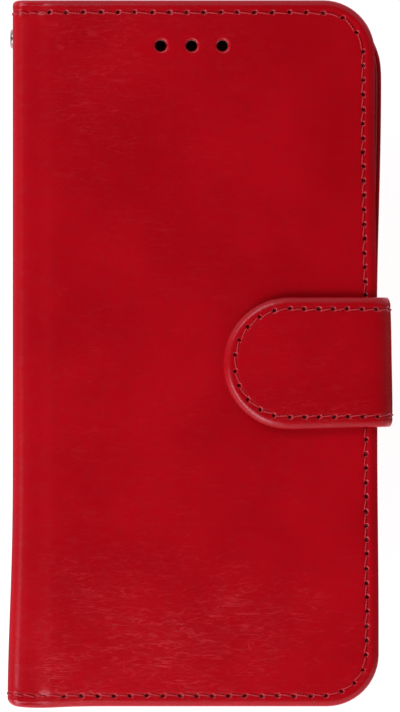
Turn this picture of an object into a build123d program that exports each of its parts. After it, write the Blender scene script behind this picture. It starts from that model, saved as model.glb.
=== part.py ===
from build123d import *
import os

# A folio wallet for a phone. It lies shut on its back: +X runs from the spine to the free
# edge, +Y towards the top of the phone, +Z from the back panel up to the front panel.
# Millimetres. The back panel carries the phone tray, the spine folds at both long corners,
# and a magnetic strap comes round from the back panel's free edge onto the front panel.

# Whole case
case_height = 156.4
back_width = 81.3
front_width = 80.7
closed_depth = 15.8
free_corner_r = 11.5
spine_corner_r = 0.8
fold_gap = 0.25

# Layers of a panel
skin_t = 0.8
board_t = 0.9
lining_t = 0.5
panel_t = skin_t + board_t + lining_t
edge_turn = 1.2
soft_flap = 7.5
lining_inset = 0.4

# Spine layers
spine_board_t = 0.5
spine_t = skin_t + spine_board_t + lining_t
spine_board_inset = 3.0

# Phone tray, for a phone of about 146.4 x 71.4 x 7.4
shell_w = 74.6
shell_h = 149.6
shell_corner_r = 11.0
shell_wall = 1.5
shell_floor = 1.0
shell_lip = 1.1
shell_lip_t = 0.8
phone_t = 7.4
shell_t = shell_floor + phone_t + shell_lip_t
shell_from_spine = 2.7
pad_t = 0.2
pad_w = 58.0
pad_h = 128.0
pad_corner_r = 6.0

# Camera window in the back panel, and the tray's rim that lines it
camera_w = 25.0
camera_h = 36.0
camera_r = 7.5
camera_from_free_edge = 7.0
camera_from_top = 7.0
camera_rim_t = 1.0
camera_rim_gap = 0.25
camera_rim_recess = 0.4

# Openings and button pads moulded in the tray's walls
port_w = 13.0
port_h = 6.0
speaker_slot_w = 11.0
speaker_slot_h = 3.2
speaker_slot_x = 17.5
mic_r = 1.0
button_t = 0.5
button_h = 3.2
buttons = ((38.0, 11.0), (22.0, 11.0), (4.0, 9.0))
port_z = 0.5 * phone_t

# Speaker holes through the front panel
hole_r = 1.25
hole_pitch = 6.8
hole_x = 39.6
hole_from_top = 10.1

# Pockets sewn inside the front panel
pocket_t = 0.4
pocket_w = 66.0
pocket_x = 40.5
pocket_mouths = (44.0, 31.0, 18.0)
pocket_hidden = 4.0
pocket_foot = -70.0
pocket_corner_r = 4.0
thumb_r = 12.0
thumb_depth = 3.0
cash_inset = 5.0

# Stitching: short bars of thread, laid on the leather
thread_w = 0.55
thread_t = 0.25
stitch_len = 2.3
edge_pitch = 3.3
edge_inset = 2.6
strap_pitch = 3.5
strap_inset = 2.7
pocket_pitch = 3.5
pocket_seam_inset = 1.6
spine_stitch_count = 3

# Eyelet for a wrist cord, through the spine near the top
eyelet_bore_r = 1.2
eyelet_tube_r = 1.6
eyelet_flange_r = 2.2
eyelet_stand = 0.75
eyelet_from_top = 8.1
washer_r = 2.6
washer_t = 0.3
eyelet_roll_r = 2.0
eyelet_roll_t = 0.2
eyelet_hole_gap = 0.05

# Strap
strap_w = 29.2
strap_y = -2.2
strap_reach = 84.2
strap_tip = 46.6
strap_side_t = 1.6
strap_side_skin_t = 0.8
strap_foot_z = 0.3
strap_root_in = 9.5
strap_root_gap = 0.2
tongue_gap = 0.35
core_t = 1.0
tongue_lining_t = 0.6
tongue_t = skin_t + core_t + tongue_lining_t
core_inset = 3.6
magnet_r = 4.5
magnet_from_tip = 12.5
magnet_spacing = 11.0
magnet_gap = 0.1
catch_w = 20.0
catch_h = 24.0
catch_t = 0.4
catch_gap = 0.1

# Places worked out from the above
half_y = case_height / 2
spine_x = -(strap_reach + thread_t - eyelet_stand) / 2
front_z = closed_depth - panel_t
shell_z = panel_t + pad_t
shell_x = spine_x + shell_from_spine + shell_w / 2
camera_x = spine_x + back_width - camera_from_free_edge - camera_w / 2
camera_y = half_y - camera_from_top - camera_h / 2
eyelet_y = half_y - eyelet_from_top
strap_out_x = spine_x + strap_reach
strap_in_x = strap_out_x - strap_side_t
tongue_z = closed_depth + tongue_gap
strap_top_z = tongue_z + tongue_t
tip_x = spine_x + strap_tip
magnet_x = tip_x + magnet_from_tip
cutter_reach = 6.0
through = 40.0


def plate(face, z, thickness):
    """A flat sheet of this outline, from z up."""
    return extrude(Pos(0, 0, z) * face, thickness)


def block(x0, x1, y0, y1, z0, z1):
    """A square block between two opposite corners."""
    middle = Pos((x0 + x1) / 2, (y0 + y1) / 2, (z0 + z1) / 2)
    return middle * Box(x1 - x0, y1 - y0, z1 - z0)


def panel_outline(width, inset=0.0, start=0.0):
    """A panel's outline: nearly square at the spine, well rounded at the free edge."""
    wide = width - inset - start
    face = Pos(spine_x + start + wide / 2, 0) * Rectangle(wide, case_height - 2 * inset)
    face = fillet(face.vertices().group_by(Axis.X)[-1], free_corner_r - inset)
    return fillet(face.vertices().group_by(Axis.X)[0], spine_corner_r)


def y_prism(*points):
    """A prism along the whole of Y from points given as (x from the spine face, z)."""
    outline = Polygon(*[(spine_x + x, z) for x, z in points], align=None)
    return extrude(Plane.XZ * outline, case_height, both=True)


def back_fold_side():
    """What is cut off the back panel, so that the spine has its half of the corner."""
    low, high, far = -1.0, cutter_reach, -cutter_reach
    return y_prism((low + fold_gap, low), (high + fold_gap, high), (far, high), (far, low))


def front_fold_side():
    """The same at the front panel, upside down."""
    return back_fold_side().mirror(Plane.XY.offset(closed_depth / 2))


def spine_ends():
    """What is cut off the spine's two long edges, so that the panels clear it."""
    low, high = -1.0, cutter_reach
    foot = y_prism((low, low + fold_gap), (high, high + fold_gap), (high, low))
    return foot + foot.mirror(Plane.XY.offset(closed_depth / 2))


def camera_face(grow=0.0):
    outline = RectangleRounded(camera_w + 2 * grow, camera_h + 2 * grow, camera_r + grow)
    return Pos(camera_x, camera_y) * outline


def speaker_holes():
    """Three cutters in a row, through the whole front panel."""
    x = spine_x + hole_x
    y = half_y - hole_from_top
    spots = [Pos(x + i * hole_pitch, y, closed_depth) for i in (-1, 0, 1)]
    return [spot * Cylinder(hole_r, through) for spot in spots]


def across(x, y, z, radius, length):
    """A round bar along X, starting at x."""
    return Pos(x + length / 2, y, z) * Rot(0, 90, 0) * Cylinder(radius, length)


# Stitching

def stitch(x, y, z, angle=0.0):
    """One bar of thread on a level face, turned about Z."""
    bar = Box(stitch_len, thread_w, thread_t)
    return Pos(x, y, z + thread_t / 2) * Rot(0, 0, angle) * bar


def stitch_run(start, end, z, pitch):
    """Evenly spaced stitches on a straight line, half a pitch clear of both ends."""
    line = Line(start, end)
    count = max(1, round(line.length / pitch))
    angle = line.tangent_at(0).get_angle(Vector(1, 0, 0))
    spots = [line.position_at((i + 0.5) / count) for i in range(count)]
    return [stitch(p.X, p.Y, z, angle) for p in spots]


def stitch_arc(centre, radius, first, last, z, pitch):
    """Evenly spaced stitches round part of a circle, from one angle to another."""
    arc = CenterArc(centre, radius, first, last - first)
    count = max(1, round(arc.length / pitch))
    turns = [first + (last - first) * (i + 0.5) / count for i in range(count)]
    spots = [Pos(*centre) * Rot(0, 0, turn) * Pos(radius, 0, 0) for turn in turns]
    bars = [stitch(0, 0, z, 90) for _ in turns]
    return [spot * bar for spot, bar in zip(spots, bars)]


def panel_stitches(width, z):
    """The line of stitching along a panel's top, free edge and bottom."""
    left = spine_x + soft_flap / 2
    right = spine_x + width - edge_inset
    top = half_y - edge_inset
    radius = free_corner_r - edge_inset
    bend = right - radius
    turn = top - radius
    bars = stitch_run((left, top), (bend, top), z, edge_pitch)
    bars += stitch_arc((bend, turn), radius, 0, 90, z, edge_pitch)
    bars += stitch_run((right, -turn), (right, turn), z, edge_pitch)
    bars += stitch_arc((bend, -turn), radius, -90, 0, z, edge_pitch)
    bars += stitch_run((left, -top), (bend, -top), z, edge_pitch)
    return bars


# Back panel

def back_cover_skin():
    whole = plate(panel_outline(back_width), 0, skin_t + board_t)
    room = plate(panel_outline(back_width, edge_turn, soft_flap), skin_t, board_t)
    return whole - room - strap_slot() - plate(camera_face(), -1, through) - back_fold_side()


def back_board():
    sheet = plate(panel_outline(back_width, edge_turn, soft_flap), skin_t, board_t)
    return sheet - strap_slot() - plate(camera_face(), 0, through)


def back_lining():
    sheet = plate(panel_outline(back_width, lining_inset), skin_t + board_t, lining_t)
    return sheet - plate(camera_face(), 0, through) - back_fold_side()


def strap_slot():
    """The slot in the back panel's free edge that the strap's sewn end lies in."""
    right = spine_x + back_width
    low, high = strap_y - strap_w / 2, strap_y + strap_w / 2
    return block(right - strap_root_in, right + 1, low, high, skin_t, skin_t + board_t)


def strap_root():
    right = spine_x + back_width
    low, high = strap_y - strap_w / 2, strap_y + strap_w / 2
    end = strap_in_x - strap_root_gap
    return block(right - strap_root_in, end, low, high, skin_t, skin_t + board_t)


def back_stitching():
    return panel_stitches(back_width, panel_t)


def shell_pad():
    sheet = plate(Pos(shell_x, 0) * RectangleRounded(pad_w, pad_h, pad_corner_r), panel_t, pad_t)
    return sheet - plate(camera_face(1.0), 0, through)


def phone_shell():
    """The moulded tray: floor, walls, an inward lip, and openings for camera and ports."""
    here = Pos(shell_x, 0, shell_z)
    body = here * extrude(RectangleRounded(shell_w, shell_h, shell_corner_r), shell_t)
    body = fillet(body.edges().group_by(Axis.Z)[0], 0.8)
    body = fillet(body.edges().group_by(Axis.Z)[-1], 0.4)
    inner_r = shell_corner_r - shell_wall
    inner = RectangleRounded(shell_w - 2 * shell_wall, shell_h - 2 * shell_wall, inner_r)
    body -= here * Pos(0, 0, shell_floor) * extrude(inner, phone_t)
    side = 2 * (shell_wall + shell_lip)
    mouth = RectangleRounded(shell_w - side, shell_h - side, inner_r - shell_lip)
    body -= here * Pos(0, 0, shell_floor + phone_t) * extrude(mouth, through)
    rim = plate(camera_face(-camera_rim_gap), camera_rim_recess, shell_z + shell_floor - camera_rim_recess)
    body += rim
    body -= plate(camera_face(-camera_rim_gap - camera_rim_t), -1, shell_z + shell_floor + 2)
    return body - tray_wall_openings() + button_pads()


def tray_wall_openings():
    """Charging port and speaker slots at the bottom, a microphone hole at the top."""
    z = shell_z + shell_floor + port_z
    deep = 4 * shell_wall
    lying = Plane.XZ.offset(shell_h / 2 - deep / 2)
    port = extrude(lying * Pos(shell_x, z) * SlotOverall(port_w, port_h), deep)
    slots = [
        extrude(lying * Pos(shell_x + side * speaker_slot_x, z) * SlotOverall(speaker_slot_w, speaker_slot_h), deep)
        for side in (-1, 1)
    ]
    top = Plane.XZ.offset(-shell_h / 2 - deep / 2)
    mic = extrude(top * Pos(shell_x, z) * Circle(mic_r), deep)
    return [port, *slots, mic]


def button_pads():
    """Button covers, moulded as raised pads on the tray's free-edge wall."""
    x = shell_x + shell_w / 2
    z = shell_z + shell_floor + port_z
    pads = []
    for y, length in buttons:
        pad = Pos(x, y, z) * Box(2 * button_t, length, button_h)
        pads.append(fillet(pad.edges().filter_by(Axis.X), button_h / 2 - 0.1))
    return pads


# Spine

def spine_layer(x, thickness, inset=0.0):
    """One upright layer of the spine, x in from its outer face."""
    left = spine_x + x
    top = half_y - inset
    return block(left, left + thickness, -top, top, inset, closed_depth - inset)


def eyelet_hole():
    z = closed_depth / 2
    return across(spine_x - 1, eyelet_y, z, eyelet_tube_r + eyelet_hole_gap, 2 * spine_t)


def spine_skin():
    return spine_layer(0, skin_t) - spine_ends() - eyelet_hole()


def spine_stiffener():
    return spine_layer(skin_t, spine_board_t, spine_board_inset) - eyelet_hole()


def spine_lining():
    sheet = spine_layer(skin_t + spine_board_t, lining_t, lining_inset)
    return sheet - spine_ends() - eyelet_hole()


def eyelet():
    z = closed_depth / 2
    body = across(spine_x - eyelet_stand, eyelet_y, z, eyelet_flange_r, eyelet_stand)
    tube = spine_t + washer_t + eyelet_roll_t
    body += across(spine_x, eyelet_y, z, eyelet_tube_r, tube)
    body += across(spine_x + spine_t + washer_t, eyelet_y, z, eyelet_roll_r, eyelet_roll_t)
    return body - across(spine_x - 1, eyelet_y, z, eyelet_bore_r, tube + 2)


def eyelet_washer():
    z = closed_depth / 2
    disc = across(spine_x + spine_t, eyelet_y, z, washer_r, washer_t)
    return disc - across(spine_x, eyelet_y, z, eyelet_tube_r + eyelet_hole_gap, 2 * spine_t)


def spine_stitching():
    """The same line of stitching, carried round the ends of the spine."""
    bars = []
    for y in (edge_inset - half_y, half_y - edge_inset):
        for i in range(spine_stitch_count):
            z = closed_depth / 2 + (i - (spine_stitch_count - 1) / 2) * edge_pitch
            bars.append(Pos(spine_x - thread_t / 2, y, z) * Box(thread_t, thread_w, stitch_len))
    return bars


# Front panel

def front_cover_skin():
    whole = plate(panel_outline(front_width), front_z + lining_t, board_t + skin_t)
    room = plate(panel_outline(front_width, edge_turn, soft_flap), front_z + lining_t, board_t)
    return whole - room - front_fold_side() - speaker_holes()


def front_board():
    sheet = plate(panel_outline(front_width, edge_turn, soft_flap), front_z + lining_t, board_t)
    return sheet - speaker_holes() - catch_block(catch_gap)


def catch_block(grow=0.0):
    """The steel plate's place, let into the board's outer face under the strap's magnets."""
    wide, tall = catch_w / 2 + grow, catch_h / 2 + grow
    top = closed_depth - skin_t
    return block(magnet_x - wide, magnet_x + wide, strap_y - tall, strap_y + tall, top - catch_t, top)


def catch_plate():
    return catch_block()


def front_lining():
    sheet = plate(panel_outline(front_width, lining_inset), front_z, lining_t)
    return sheet - front_fold_side() - speaker_holes()


def front_stitching():
    return panel_stitches(front_width, closed_depth)


def cash_pocket():
    """A full-height sheet sewn to the lining on three sides, open towards the spine."""
    face = panel_outline(front_width, cash_inset, soft_flap)
    top = plate(face, front_z - pocket_t, pocket_t)
    return top - speaker_holes()


def card_pocket(number):
    """One of the stepped card pockets, with a thumb notch in its mouth."""
    mouth = pocket_mouths[number]
    last = number == len(pocket_mouths) - 1
    foot = pocket_foot if last else pocket_mouths[number + 1] - pocket_hidden
    x = spine_x + pocket_x
    face = Pos(x, (mouth + foot) / 2) * Rectangle(pocket_w, mouth - foot)
    if last:
        face = fillet(face.vertices().group_by(Axis.Y)[0], pocket_corner_r)
    face -= Pos(x, mouth + thumb_r - thumb_depth) * Circle(thumb_r)
    return plate(face, front_z - (number + 2) * pocket_t, pocket_t)


def pocket_stitching():
    """Stitching down both sides and along the foot of the lowest card pocket."""
    z = front_z - (len(pocket_mouths) + 1) * pocket_t - thread_t
    x = spine_x + pocket_x
    half = pocket_w / 2 - pocket_seam_inset
    top = pocket_mouths[-1] - pocket_seam_inset
    low = pocket_foot + pocket_seam_inset
    corner = low + pocket_corner_r
    bars = stitch_run((x - half, corner), (x - half, top), z, pocket_pitch)
    bars += stitch_run((x + half, corner), (x + half, top), z, pocket_pitch)
    bars += stitch_run((x - half + pocket_corner_r, low), (x + half - pocket_corner_r, low), z, pocket_pitch)
    return bars


# Strap

def strap_side_layer(x0, x1):
    """One layer of the upright part of the strap, mitred where it folds over the front."""
    low, high = strap_y - strap_w / 2, strap_y + strap_w / 2
    sheet = block(x0, x1, low, high, strap_foot_z, strap_top_z)
    return sheet - tongue_fold_side()


def fold_cutter(sign):
    """A wedge on one side of the strap's upper fold: +1 above the mitre, -1 below it."""
    reach = cutter_reach
    x, z = strap_reach + 1, strap_top_z + 1
    gap = sign * fold_gap / 2
    corner = (x - 2 * reach, z) if sign > 0 else (x, z - 2 * reach)
    return y_prism((x, z - gap), (x - 2 * reach, z - 2 * reach - gap), corner)


def tongue_fold_side():
    return fold_cutter(1)


def side_fold_side():
    return fold_cutter(-1)


def strap_side_skin():
    return strap_side_layer(strap_out_x - strap_side_skin_t, strap_out_x)


def strap_side_lining():
    return strap_side_layer(strap_in_x, strap_out_x - strap_side_skin_t)


def strap_side_stitching():
    """A line of stitching near each edge of the strap's upright part."""
    count = round((strap_top_z - strap_foot_z) / strap_pitch) - 1
    bars = []
    for side in (-1, 1):
        y = strap_y + side * (strap_w / 2 - strap_inset)
        for i in range(count):
            z = strap_foot_z + strap_pitch * (i + 1)
            bars.append(Pos(strap_out_x + thread_t / 2, y, z) * Box(thread_t, thread_w, stitch_len))
    return bars


def tongue_outline(inset=0.0, cut=0.0):
    """A straight band with a half-round tip."""
    radius = strap_w / 2 - inset
    tip = Pos(tip_x + strap_w / 2, strap_y)
    right = strap_out_x - cut
    straight = right - tip_x - strap_w / 2
    band = Pos(tip_x + strap_w / 2 + straight / 2, strap_y) * Rectangle(straight, 2 * radius)
    return band + tip * Circle(radius)


def tongue_core_cut():
    """How far the strap's core stops short of its outer face, to let the fold bend."""
    return tongue_t + edge_turn


def strap_tongue_skin():
    z = tongue_z + tongue_lining_t
    whole = plate(tongue_outline(), z, core_t + skin_t)
    room = plate(tongue_outline(core_inset, tongue_core_cut()), z, core_t)
    return whole - room - side_fold_side()


def strap_tongue_lining():
    return plate(tongue_outline(), tongue_z, tongue_lining_t) - side_fold_side()


def magnet_spots():
    z = tongue_z + tongue_lining_t + core_t / 2
    return [Pos(magnet_x, strap_y + s * magnet_spacing / 2, z) for s in (-1, 1)]


def strap_stiffener():
    core = plate(tongue_outline(core_inset, tongue_core_cut()), tongue_z + tongue_lining_t, core_t)
    return core - [spot * Cylinder(magnet_r + magnet_gap, 2 * core_t) for spot in magnet_spots()]


def strap_magnets():
    return [spot * Cylinder(magnet_r, core_t) for spot in magnet_spots()]


def strap_tongue_stitching():
    radius = strap_w / 2 - strap_inset
    left = tip_x + strap_w / 2
    right = strap_out_x - strap_pitch
    z = strap_top_z
    bars = stitch_arc((left, strap_y), radius, 90, 270, z, strap_pitch)
    bars += stitch_run((left, strap_y + radius), (right, strap_y + radius), z, strap_pitch)
    bars += stitch_run((left, strap_y - radius), (right, strap_y - radius), z, strap_pitch)
    return bars


nodes = {
    "back_cover_skin": back_cover_skin(),
    "back_board": back_board(),
    "back_lining": back_lining(),
    "back_stitching": back_stitching(),
    "shell_pad": shell_pad(),
    "phone_shell": phone_shell(),
    "strap_root": strap_root(),
    "spine_skin": spine_skin(),
    "spine_stiffener": spine_stiffener(),
    "spine_lining": spine_lining(),
    "spine_stitching": spine_stitching(),
    "eyelet": eyelet(),
    "eyelet_washer": eyelet_washer(),
    "front_cover_skin": front_cover_skin(),
    "front_board": front_board(),
    "front_lining": front_lining(),
    "front_stitching": front_stitching(),
    "catch_plate": catch_plate(),
    "cash_pocket": cash_pocket(),
    "pocket_stitching": pocket_stitching(),
    "strap_side_skin": strap_side_skin(),
    "strap_side_lining": strap_side_lining(),
    "strap_side_stitching": strap_side_stitching(),
    "strap_tongue_skin": strap_tongue_skin(),
    "strap_tongue_lining": strap_tongue_lining(),
    "strap_tongue_stitching": strap_tongue_stitching(),
    "strap_stiffener": strap_stiffener(),
    "strap_magnets": strap_magnets(),
}
for index in range(len(pocket_mouths)):
    nodes[f"card_pocket_{index + 1}"] = card_pocket(index)

os.makedirs("parts", exist_ok=True)
for name, shape in nodes.items():
    if isinstance(shape, list):
        shape = Compound(children=shape)
    export_step(shape, f"parts/{name}.step")
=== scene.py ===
"""The looks of a red leather phone wallet case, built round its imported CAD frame.

The leather is modelled as a flat pattern first: s runs from the middle of the spine, or of the
strap's upright part, out to a free edge, y runs along the case, and h out of the surface. A place
function then wraps that pattern round the case. Lengths are millimetres until a place function
turns them into the frame's metres.
"""
import math
import random

import bmesh
import bpy
import numpy as np
from mathutils import Matrix, Vector


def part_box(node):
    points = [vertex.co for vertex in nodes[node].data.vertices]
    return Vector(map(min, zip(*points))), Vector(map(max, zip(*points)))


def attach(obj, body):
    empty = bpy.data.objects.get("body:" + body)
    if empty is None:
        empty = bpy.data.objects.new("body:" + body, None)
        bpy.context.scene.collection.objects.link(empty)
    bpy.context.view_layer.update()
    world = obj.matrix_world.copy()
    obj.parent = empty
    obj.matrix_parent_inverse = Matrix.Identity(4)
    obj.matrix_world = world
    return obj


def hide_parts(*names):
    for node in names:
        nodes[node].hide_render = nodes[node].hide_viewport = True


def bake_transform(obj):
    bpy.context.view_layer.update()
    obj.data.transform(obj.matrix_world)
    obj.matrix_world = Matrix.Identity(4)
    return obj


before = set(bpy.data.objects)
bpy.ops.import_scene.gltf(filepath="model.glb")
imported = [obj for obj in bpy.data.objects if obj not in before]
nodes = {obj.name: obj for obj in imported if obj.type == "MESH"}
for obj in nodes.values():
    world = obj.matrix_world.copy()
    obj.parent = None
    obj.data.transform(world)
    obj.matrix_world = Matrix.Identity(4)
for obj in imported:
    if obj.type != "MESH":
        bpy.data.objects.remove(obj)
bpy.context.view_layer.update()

MM = 0.001
random.seed(7)


def box_mm(node):
    low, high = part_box(node)
    return Vector(low) / MM, Vector(high) / MM


# Sizes read from the frame
back_high = box_mm("back_cover_skin")[1]
front_high = box_mm("front_cover_skin")[1]
side_low, side_high = box_mm("strap_side_skin")
eyelet_low, eyelet_high = box_mm("eyelet")
SPINE_X = box_mm("spine_skin")[0].x
HALF_Y = back_high.y
DEPTH = front_high.z
BACK_WIDTH = back_high.x - SPINE_X
FRONT_WIDTH = front_high.x - SPINE_X
STRAP_OUT = side_high.x
STRAP_TOP = side_high.z
STRAP_TIP = box_mm("strap_tongue_skin")[0].x
STRAP_Y = (side_low.y + side_high.y) / 2
STRAP_HALF = (side_high.y - side_low.y) / 2
TONGUE_T = STRAP_TOP - box_mm("strap_tongue_lining")[0].z
SIDE_T = STRAP_OUT - box_mm("strap_side_lining")[0].x
EYELET_Y = (eyelet_low.y + eyelet_high.y) / 2

# Sizes of the leather work
CORNER_R = 11.5        # free corners of a panel
BACK_CORNER_R = CORNER_R + 1.5
BEND_R = 2.6           # outside of the spine's two long corners
LEATHER_T = 1.7        # outer leather with its board, without the lining
SKIN_T = 0.8
LINING_FACE = -2.2     # heights of the lining's two faces, from the leather's shown face
LINING_BACK = -1.72
SPINE_THINNER = 0.4    # how much less stands behind the leather in the spine
FLAP = 7.5             # soft leather between the spine's corner and the board
FOLD_ROOM = 5.4        # from a panel's outer face to where the spine's board can start

STRAP_BEND_R = 3.4
STRAP_SLIDE = 36.0     # moves the grain along, to a part of the hide with more creases
STRAP_MID_Z = 9.4      # where the strap's two pieces meet
STRAP_ROOT_Z = 0.7
STRAP_ROOT_T = 1.0
STRAP_ROOT_LONG = 6.0  # how far the strap's sewn end runs into the back panel
STRAP_RINGS_T = 2.4    # the strap's thickness in the outlines of its edges
STRAP_LINING_BACK = -1.82

PANEL_STEP = 1.3       # mesh spacing
STRAP_STEP = 1.1
FINE = 6               # how many times finer it is along a line of stitching
PATCH_INSET = 4.6      # the even patch starts here, inside the rings that follow the edge
SMOOTH_ANGLE = 48      # an edge sharper than this many degrees stays crisp

SEAM_INSET = 2.6
STRAP_PITCH = 3.45     # from one needle hole to the next
SEAM_DIP = 0.13        # how far the thread draws the leather down, and how far out that reaches
SEAM_DIP_WIDE = 0.5
PIT_DEPTH = 0.55       # needle holes
PIT_LONG = 0.64
PIT_WIDE = 0.46


def smooth(value, low, high):
    """0 before low, 1 after high, and a smooth rise between; low may be above high."""
    t = np.clip((value - low) / (high - low), 0, 1)
    return t * t * (3 - 2 * t)


# Flat patterns

class Outline:
    """A flat pattern's edge: out from s = 0 along the top, round two corners, back along the bottom."""

    def __init__(self, length, half, radius):
        self.length, self.half, self.radius = length, half, radius
        self.straight = length - radius
        self.quarter = math.pi / 2 * radius
        self.side = 2 * (half - radius)
        self.total = 2 * (self.straight + self.quarter) + self.side

    def point(self, t, inset):
        """(s, y) at distance t along the edge and inset from it. The two halves mirror each other."""
        t = np.asarray(t, float)
        second_half = t > self.total / 2
        t = np.where(second_half, self.total - t, t)
        radius, high = self.radius - inset, self.half - self.radius
        turn = np.clip((t - self.straight) / self.radius, 0, math.pi / 2)
        down = np.clip(t - self.straight - self.quarter, 0, None)
        s = np.minimum(t, self.straight) + radius * np.sin(turn)
        y = high + radius * np.cos(turn) - down
        return s, np.where(second_half, -y, y)

    def marks(self, step):
        """Evenly spread values of t, and how many lie before the middle of each corner."""
        along = max(2, round(self.straight / step))
        eighth = max(3, round(self.quarter / 2 / step))
        across = round(self.side / step)
        runs = [
            (self.straight, along), (self.quarter / 2, eighth), (self.quarter / 2, eighth),
            (self.side, across), (self.quarter / 2, eighth), (self.quarter / 2, eighth),
            (self.straight, along),
        ]
        marks = [0.0]
        for length, count in runs:
            start = marks[-1]
            marks += [start + length * (i + 1) / count for i in range(count)]
        return np.array(marks), along + eighth, 2 * eighth + across


def finer(marks, times):
    """The same marks with each gap divided."""
    steps = np.arange(len(marks) * times - times + 1) / times
    return np.interp(steps, np.arange(len(marks)), marks)


def grid_points(outline, marks, columns, rows, inset):
    """A patch that fills the outline at this inset, as arrays of s and y with one row per row."""
    ring = np.stack(outline.point(marks, inset), axis=1)
    top, right = ring[:columns + 1], ring[columns:columns + rows + 1]
    bottom = ring[columns + rows:][::-1]
    scale = top[0, 1] / right[0, 1]
    left = np.stack([np.zeros(rows + 1), right[:, 1] * scale], axis=1)
    u = np.linspace(0, 1, columns + 1)[None, :, None]
    v = np.linspace(0, 1, rows + 1)[:, None, None]
    edges = (1 - v) * top[None] + v * bottom[None] + (1 - u) * left[:, None] + u * right[:, None]
    corners = (
        (1 - u) * (1 - v) * top[0] + u * (1 - v) * top[-1]
        + (1 - u) * v * bottom[0] + u * v * bottom[-1]
    )
    return edges - corners


def ring_of_grid(first, columns, rows):
    """Vertex numbers round the open-ended edge of a grid whose numbers start at first."""
    wide = columns + 1
    top = [first + i for i in range(wide)]
    right = [first + j * wide + columns for j in range(1, rows + 1)]
    bottom = [first + rows * wide + i for i in range(columns - 1, -1, -1)]
    return top + right + bottom


def join_rings(a, b):
    """Faces between two rings; one may have a whole number of times the other's points."""
    if len(a) == len(b):
        return [(a[i], a[i + 1], b[i + 1], b[i]) for i in range(len(a) - 1)]
    if len(a) > len(b):
        return [face[::-1] for face in join_rings(b, a)]
    times = (len(b) - 1) // (len(a) - 1)
    middle = times // 2
    faces = []
    for i in range(len(a) - 1):
        for j in range(times):
            near = a[i] if j < middle else a[i + 1]
            faces.append((near, b[i * times + j + 1], b[i * times + j]))
        faces.append((a[i], a[i + 1], b[i * times + middle]))
    return faces


def pit_value(t, inset, holes):
    """How deep in a needle hole each point lies, from 0 outside to 1 at its middle."""
    value = np.zeros_like(t)
    for along, across, strength in holes:
        # No two holes have quite the same slant or size
        step = t - along
        shear = inset - across - 0.22 * math.sin(9.1 * along) * step
        size = 1 + 0.16 * math.sin(5.3 * along)
        r2 = (step / (size * PIT_LONG)) ** 2 + (shear / PIT_WIDE) ** 2
        value = np.maximum(value, strength * np.clip(1 - r2, 0, 1) ** 1.3)
    return value


def sheet(name, outline, place, face, rings, back, step, holes=(), seam=None, relief=None, sign=1):
    """A closed sheet of leather. face and back are the heights of the shown and hidden sides, and
    rings are (inset, h, fine) from the shown side round the edge. seam is the inset of a thread
    that draws the leather down. sign is 1 where the sheet shows outwards, -1 where inwards."""
    marks, columns, rows = outline.marks(step)
    fine_marks = finer(marks, FINE)
    blocks, faces, start = [], [], 0

    def side_of_sheet(h):
        nonlocal start
        points = grid_points(outline, marks, columns, rows, PATCH_INSET).reshape(-1, 2)
        blocks.append((points[:, 0], points[:, 1], np.full(len(points), h), np.zeros(len(points))))
        first, wide = start, columns + 1
        start += len(points)
        for j in range(rows):
            for i in range(columns):
                a = first + j * wide + i
                faces.append((a, a + 1, a + wide + 1, a + wide))
        return first

    shown = side_of_sheet(face)
    previous = ring_of_grid(shown, columns, rows)
    for inset, h, fine in rings:
        t = fine_marks if fine else marks
        s, y = outline.point(t, inset)
        pit = pit_value(t, inset, holes) if fine and len(holes) else np.zeros(len(t))
        height = np.full(len(t), h) - sign * PIT_DEPTH * pit
        if seam is not None:
            height -= sign * SEAM_DIP * math.exp(-(((inset - seam) / SEAM_DIP_WIDE) ** 2))
        blocks.append((s, y, height, pit))
        ring = list(range(start, start + len(t)))
        start += len(t)
        faces += join_rings(previous, ring)
        previous = ring
    hidden = side_of_sheet(back)
    faces += join_rings(previous, ring_of_grid(hidden, columns, rows))

    s, y, h, pit = (np.concatenate(column) for column in zip(*blocks))
    if relief is not None:
        near_face = np.abs(h - face) < 0.2
        h = h + sign * relief(s, y) * near_face
    mesh = new_mesh(name, place(s, y, h).tolist(), faces)
    mend(mesh, cap_open_end)
    slide = STRAP_SLIDE if outline.half < HALF_Y / 2 else 0.0
    add_flat_map(mesh, s * place.side, y, pit, slide)
    return finish_mesh(name, mesh)


def cap_open_end(bm):
    rim = [e for e in bm.edges if e.is_boundary]
    made = bmesh.ops.holes_fill(bm, edges=rim, sides=0)["faces"]
    bmesh.ops.triangulate(bm, faces=made, ngon_method="EAR_CLIP")


def merge_doubles(bm):
    bmesh.ops.remove_doubles(bm, verts=bm.verts[:], dist=1e-7)


def mend(mesh, *steps):
    """Runs the steps on a mesh, and then turns every face outwards."""
    bm = bmesh.new()
    bm.from_mesh(mesh)
    for step in steps:
        step(bm)
    bmesh.ops.recalc_face_normals(bm, faces=bm.faces[:])
    bm.to_mesh(mesh)
    bm.free()


def add_flat_map(mesh, s, y, pit, slide=0.0):
    """Keeps each point's place in the flat pattern, in metres, so that grain follows every fold.
    The map "pit" holds how deep in a needle hole the point lies, and whether the grain slides,
    as it does only on the strap."""
    corner = np.empty(len(mesh.loops), np.int32)
    mesh.loops.foreach_get("vertex_index", corner)
    maps = {"flat": (s * MM, (y - slide) * MM), "pit": (pit, 0 * pit + (slide > 0))}
    for name, columns in maps.items():
        layer = mesh.uv_layers.new(name=name)
        layer.data.foreach_set("uv", np.stack(columns, 1)[corner].astype(np.float32).ravel())


def new_mesh(name, verts, faces):
    mesh = bpy.data.meshes.new(name)
    mesh.from_pydata(verts, [], faces)
    return mesh


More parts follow.
